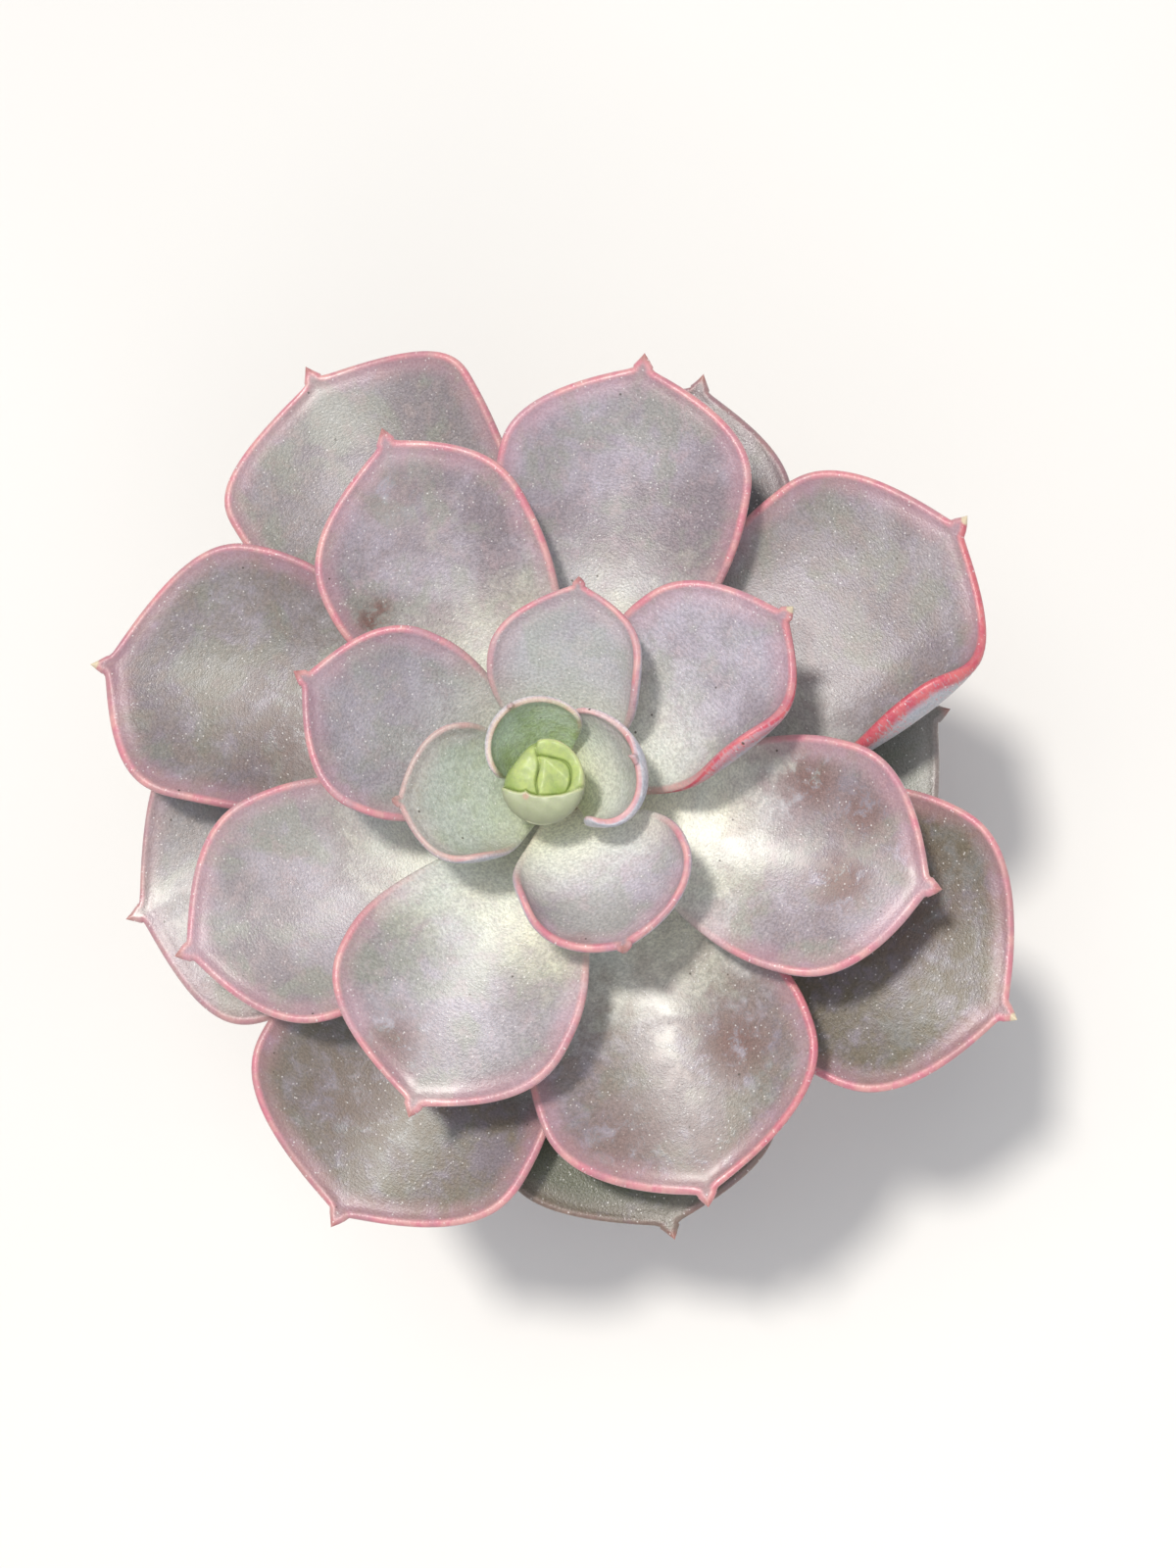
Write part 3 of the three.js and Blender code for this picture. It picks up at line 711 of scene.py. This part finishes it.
def body_radius(z):
    """The pot's body tapers evenly from the foot to the rim."""
    return POT_FOOT_RADIUS + (POT_TOP_RADIUS - BAND_STEP - POT_FOOT_RADIUS) * (z / POT_HEIGHT)


def pot_mesh():
    """The pot's outline turned about Z, with rounded edges, and the drain holes cut through its floor."""
    band = POT_HEIGHT - BAND_HEIGHT

    def inside(z):
        return body_radius(z) - POT_WALL

    foot = POT_FOOT_RADIUS - LIP_ROUND
    under = (body_radius(band - BAND_STEP), band - BAND_STEP)
    outline = (
        [(2.0, 0)] + spaced((2, 0), (foot, 0), 12)
        + arc(foot, LIP_ROUND, LIP_ROUND, -90, -8)
        + spaced((POT_FOOT_RADIUS, LIP_ROUND), under, 14)
        + [under] + arc(under[0] + 2.2, band - 0.1, 1.0, -100, -20, 4)
        + spaced((body_radius(band) + BAND_STEP, band), (POT_TOP_RADIUS, POT_HEIGHT - LIP_ROUND), 5)
        + arc(POT_TOP_RADIUS - LIP_ROUND, POT_HEIGHT - LIP_ROUND, LIP_ROUND, 0, 90)
        + arc(inside(POT_HEIGHT) + LIP_ROUND, POT_HEIGHT - LIP_ROUND, LIP_ROUND, 90, 180)
        + spaced((inside(POT_HEIGHT), POT_HEIGHT - LIP_ROUND), (inside(POT_FLOOR + 5), POT_FLOOR + 5), 16)
        + arc(inside(POT_FLOOR + 5) - 5, POT_FLOOR + 5, 5, 0, -90)
        + spaced((inside(POT_FLOOR) - 5, POT_FLOOR), (2, POT_FLOOR), 8)
        + [(2.0, POT_FLOOR)]
    )
    mesh = closed_skin("pot", turned_rings(outline, 144))
    body = bpy.data.objects.new("pot", mesh)
    bpy.context.scene.collection.objects.link(body)
    for i in range(DRAIN_HOLES):
        angle = 2 * math.pi * i / DRAIN_HOLES
        drill = turned_rings([(DRAIN_RADIUS, -2), (DRAIN_RADIUS, POT_FLOOR + 2)], 32)
        drill[..., 0] += DRAIN_CIRCLE * math.cos(angle)
        drill[..., 1] += DRAIN_CIRCLE * math.sin(angle)
        tool = bpy.data.objects.new("drill", closed_skin("drill", drill))
        bpy.context.scene.collection.objects.link(tool)
        cut = body.modifiers.new("drain", "BOOLEAN")
        cut.operation = "DIFFERENCE"
        cut.object = tool
        cut.solver = "EXACT"
        evaluated = body.evaluated_get(bpy.context.evaluated_depsgraph_get())
        body.data = bpy.data.meshes.new_from_object(evaluated)
        body.modifiers.clear()
        bpy.data.objects.remove(tool)
    result = body.data
    bpy.data.objects.remove(body)
    return result


def soil_height(x, y, rng):
    """The soil's broad relief, and on it sines of many directions whose height falls with their length."""
    broad = np.sin(0.31 * x + 0.7) * np.cos(0.27 * y) + 0.5 * np.sin(0.55 * y - 0.4 * x + 1.9)
    height = SOIL_LEVEL + SOIL_RELIEF * broad
    for octave in range(4):
        turned = rng.uniform(0, 2 * np.pi, 5)
        phase = rng.uniform(0, 2 * np.pi, 5)
        wave = 0.9 * 1.9**octave
        for direction, shift in zip(turned, phase):
            crest = np.sin(wave * (x * np.cos(direction) + y * np.sin(direction)) + shift)
            height = height + 0.16 / 1.5**octave * crest
    return height


def soil_mesh():
    """A plug that fills the pot, with the lumpy top on a polar grid and a collar round the stem."""
    def inside(z):
        return body_radius(z) - POT_WALL - SEAT_GAP

    floor = POT_FLOOR + SEAT_GAP
    wall = [
        (inside(POT_FLOOR) - 5.6, floor), (inside(POT_FLOOR) - 2.2, floor + 1.5),
        (inside(POT_FLOOR + 5), POT_FLOOR + 5), (inside(40), 40), (inside(SOIL_LEVEL - 4), SOIL_LEVEL - 4),
    ]
    top = [(r, SOIL_LEVEL) for r in np.linspace(inside(SOIL_LEVEL), STEM_RADIUS + 0.1, 90)]
    sunk = [(STEM_RADIUS, SOIL_LEVEL - 3), (STEM_RADIUS - 0.5, SOIL_LEVEL - 5)]
    rings = turned_rings([(3, floor)] + wall + top + sunk, 200)
    face = rings[len(wall) + 1:len(wall) + 1 + len(top)]
    face[..., 2] = soil_height(face[..., 0], face[..., 1], np.random.default_rng(SOIL_SEED))
    return closed_skin("soil", rings)


def lumps_mesh(name, count, smallest, largest, seed, sink):
    """Crumbs strewn on the soil: cubes with raised faces and pushed corners, sunk in by a share of their
    size."""
    rng = np.random.default_rng(seed)
    corner = np.array([[x, y, z] for x in (-1, 1) for y in (-1, 1) for z in (-1, 1)], float) * 0.62
    axis = np.array([[1, 0, 0], [-1, 0, 0], [0, 1, 0], [0, -1, 0], [0, 0, 1], [0, 0, -1]], float)
    shape = np.concatenate([corner, axis])
    faces = []
    for k, direction in enumerate(axis):
        side = [i for i in range(8) if corner[i] @ direction > 0]
        middle = corner[side].mean(0)
        one = corner[side[0]] - middle
        two = np.cross(direction, one)
        side.sort(key=lambda i: math.atan2((corner[i] - middle) @ two, (corner[i] - middle) @ one))
        faces += [[8 + k, side[i], side[(i + 1) % 4]] for i in range(4)]
    faces = np.array(faces)
    reach = body_radius(SOIL_LEVEL) - POT_WALL - SEAT_GAP - largest
    radius = np.sqrt(rng.uniform((STEM_RADIUS + largest) ** 2, reach**2, count))
    angle = rng.uniform(0, 2 * np.pi, count)
    x, y = radius * np.cos(angle), radius * np.sin(angle)
    size = rng.uniform(smallest, largest, count) * rng.uniform(0.6, 1, count)
    height = soil_height(x, y, np.random.default_rng(SOIL_SEED)) + size * (0.5 - sink)
    turns = np.linalg.qr(rng.normal(size=(count, 3, 3)))[0]
    turns *= np.sign(np.linalg.det(turns))[:, None, None]
    pushed = shape[None] * rng.uniform(0.72, 1.15, (count, len(shape), 3)) * size[:, None, None] * 0.5
    points = np.einsum("nij,nkj->nki", turns, pushed) + np.stack([x, y, height], 1)[:, None]
    mesh = bpy.data.meshes.new(name)
    every = (faces[None] + (np.arange(count) * len(shape))[:, None, None]).reshape(-1, 3)
    mesh.from_pydata((points.reshape(-1, 3) * MM).tolist(), [], every.tolist())
    mesh.update()
    return mesh


def clay_material():
    """Unglazed clay: orange brown with slow firing clouds, a pale mineral bloom, pores and turning lines."""
    r = Recipe("terracotta")
    place = r.place()
    clouds = r.noise(place, 22, 4, 0.6)
    grit = r.noise(place, 900, 2, 0.6)
    pores = r.ramp(r.cells(place, 420), 0.16, 0.08)
    height = r.node("ShaderNodeSeparateXYZ", {}, [place], "Z")
    lines = r.noise(r.scaled(place, (4, 4, 1100)), 1, 2, 0.5)
    colour = r.mix(r.ramp(clouds, 0.3, 0.7), linear(178, 98, 62), linear(202, 124, 84))
    bloom = r.ramp(r.noise(place, 60, 5, 0.7, 0.3), 0.5, 0.72)
    low = r.ramp(height, 0.03, 0.0)
    colour = r.mix(bloom * (0.25 + low * 0.4), colour, linear(222, 190, 164))
    colour = r.mix(pores * 0.5, colour, linear(120, 62, 40))
    colour = r.shade(colour, 0.9 + 0.2 * grit)
    return r.finish(
        Base_Color=colour,
        Roughness=0.82 + 0.12 * (grit - 0.5),
        Normal=r.bumps(grit * 0.35 + lines * 0.5 - pores * 0.6, 0.18),
    )


def soil_material(name, dark, light):
    """A rough grain of two colours, for the potting mix, its crumbs and the perlite."""
    r = Recipe(name)
    place = r.place()
    crumb = r.noise(place, 420, 4, 0.7)
    lump = r.noise(place, 130, 3, 0.6)
    colour = r.mix(r.ramp(crumb, 0.3, 0.75), dark, light)
    colour = r.shade(colour, 0.55 + 0.9 * lump)
    return r.finish(
        Base_Color=colour,
        Roughness=0.95,
        Normal=r.bumps(crumb + lump * 0.5, 0.7),
    )


def stem_material():
    """Dry stem: grey brown skin in paler and darker patches, with dark lengthwise cracks."""
    r = Recipe("stem_skin")
    place = r.place()
    cracks = r.noise(r.scaled(place, (1, 1, 0.35)), 480, 4, 0.65)
    patches = r.noise(place, 120, 3, 0.6)
    colour = r.mix(r.ramp(patches, 0.35, 0.65), linear(122, 104, 80), linear(164, 148, 120))
    colour = r.mix(r.ramp(cracks, 0.55, 0.35) * 0.6, colour, linear(78, 62, 46))
    return r.finish(
        Base_Color=colour,
        Roughness=0.85,
        Normal=r.bumps(cracks + patches * 0.4, 0.5),
    )


# The plant.

leaf_finish = leaf_material("leaf_skin", 0.39)
young_finish = leaf_material("young_leaf_skin", 0.48)
for i, (row, tint) in enumerate(zip(LEAF_ROWS, LEAF_TINTS)):
    number = i + 1
    leaf = Leaf(row, ROOT_TOP - ROOT_STEP * i)
    node = f"leaf_{number:02d}"
    blotches, rosy = BLOTCHES.get(number, ()), FADED.get(number, 1)
    seed = FIRST_SEED + SEED_STEP * i
    mesh = leaf_skin(node + "_skin", leaf, tint, seed, blotches, rosy, number in SCARRED)
    if leaf.reach < YOUNG_REACH:
        piece(node + "_skin", mesh, young_finish, "young_leaf", node)
    else:
        piece(node + "_skin", mesh, leaf_finish, "leaf", node)

piece("bud_skin", bud_mesh(), bud_material(), "bud", "bud")
piece("stem_skin", stem_mesh(), stem_material(), "stem", "stem")
piece("pot_clay", pot_mesh(), clay_material(), "clay", "pot")
potting_mix = soil_material("potting_mix", linear(38, 28, 20), linear(84, 66, 48))
piece("potting_mix", soil_mesh(), potting_mix, "soil", "soil")
crumbs = soil_material("soil_crumbs", linear(52, 38, 27), linear(104, 82, 58))
piece("soil_crumbs", lumps_mesh("soil_crumbs", 900, 1.0, 3.4, seed=5, sink=0.35), crumbs, "soil")
grit = soil_material("perlite", linear(196, 190, 178), linear(232, 228, 220))
piece("perlite", lumps_mesh("perlite", 150, 1.2, 3.2, seed=9, sink=0.3), grit, "soil")


# Floor, light and camera.

FLOOR_HALF = 3  # metres, as all lengths below
LIT_HEIGHT = 0.13
LAMP_DISTANCE = 1.2


def floor_material():
    """Matt off-white, with a faint slow haze."""
    r = Recipe("floor")
    haze = r.noise(r.place(), 3, 2, 0.5)
    colour = r.mix(r.ramp(haze, 0.3, 0.7), linear(224, 222, 218), linear(230, 228, 224))
    return r.finish(Base_Color=colour, Roughness=0.9)


floor = bpy.data.objects.new("floor", bpy.data.meshes.new("floor"))
bpy.context.scene.collection.objects.link(floor)
corners = [(-1, -1, 0), (1, -1, 0), (1, 1, 0), (-1, 1, 0)]
floor.data.from_pydata([Vector(corner) * FLOOR_HALF for corner in corners], [], [(0, 1, 2, 3)])
floor.data.materials.append(floor_material())


def lamp(name, kind, energy, azimuth, off_vertical, **settings):
    """A light that shines at the rosette from an azimuth and an angle off straight above, in degrees."""
    light = bpy.data.lights.new(name, kind)
    light.energy = energy
    for key, value in settings.items():
        setattr(light, key, value)
    holder = bpy.data.objects.new(name, light)
    bpy.context.scene.collection.objects.link(holder)
    a, t = math.radians(azimuth), math.radians(off_vertical)
    back = Vector((math.sin(t) * math.cos(a), math.sin(t) * math.sin(a), math.cos(t)))
    holder.location = Vector((0, 0, LIT_HEIGHT)) + back * LAMP_DISTANCE
    holder.rotation_mode = "QUATERNION"
    holder.rotation_quaternion = back.to_track_quat("Z", "Y")


lamp("key", "SUN", 2.15, azimuth=130, off_vertical=16, angle=math.radians(7), color=(1.0, 0.965, 0.91))
lamp("sky", "AREA", 3.5, azimuth=126, off_vertical=12, shape="DISK", size=0.75, color=(1.0, 0.98, 0.95))
lamp("fill", "AREA", 4.0, azimuth=-60, off_vertical=35, shape="DISK", size=1.4, color=(0.94, 0.97, 1.0))
world = bpy.data.worlds.new("studio")
bpy.context.scene.world = world
world.use_nodes = True
world.node_tree.nodes["Background"].inputs["Color"].default_value = (0.86, 0.9, 1.0, 1)
world.node_tree.nodes["Background"].inputs["Strength"].default_value = 0.42
bpy.context.scene.view_settings.view_transform = "Standard"

# The camera looks down at the rosette from a little to the lower right, with +Y up the picture.
LOOK_HEIGHT = 0.120
VIEW_DISTANCE = 0.480
VIEW_TILT = math.radians(10)
VIEW_AZIMUTH = math.radians(-54)
camera = bpy.data.objects.new("camera", bpy.data.cameras.new("camera"))
bpy.context.scene.collection.objects.link(camera)
bpy.context.scene.camera = camera
back = Vector((
    math.sin(VIEW_TILT) * math.cos(VIEW_AZIMUTH),
    math.sin(VIEW_TILT) * math.sin(VIEW_AZIMUTH),
    math.cos(VIEW_TILT),
))
right = Vector((0, 1, 0)).cross(back).normalized()
upwards = back.cross(right)
turned = Matrix((right, upwards, back)).transposed().to_4x4()
stands = Vector((0, 0, LOOK_HEIGHT)) + back * VIEW_DISTANCE
camera.matrix_world = Matrix.Translation(stands) @ turned
camera.data.sensor_width = 36
camera.data.lens = 54
camera.data.shift_x = 0.0149
camera.data.shift_y = 0.0057
camera.data.clip_start = 0.01
